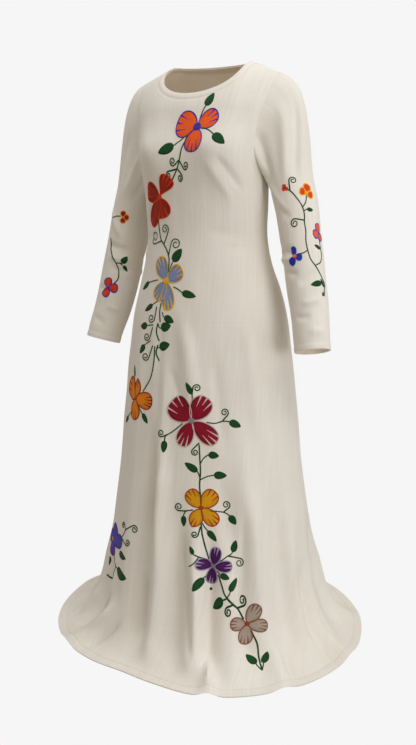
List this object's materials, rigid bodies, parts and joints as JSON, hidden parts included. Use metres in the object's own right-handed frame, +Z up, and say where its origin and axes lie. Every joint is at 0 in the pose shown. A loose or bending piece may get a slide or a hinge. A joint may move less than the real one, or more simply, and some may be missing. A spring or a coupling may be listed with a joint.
{
  "type": "jalabiya",
  "caption": "Long-sleeved, round-necked full-length robe in pale linen with flower and vine embroidery, filled out as if worn, its hem spread on the floor",
  "frame": {"origin": "midway between the two points where the shoulder seams meet the neckline, where the wearer's shoulders hold the robe", "axes": "+Z up, -Y towards the front of the robe, +X towards the wearer's left"},
  "size_m": [0.8111, 0.7677, 1.3897],
  "materials": {
    "linen": "woven, matt, with a fine slub",
    "facing": "woven, matt",
    "embroidery": "satin-stitched thread with a low sheen"
  },
  "bodies": {
    "root": {"front": "linen", "back": "linen", "sleeve_left": "linen", "sleeve_right": "linen", "neck_facing": "facing"}
  },
  "joints": []
}
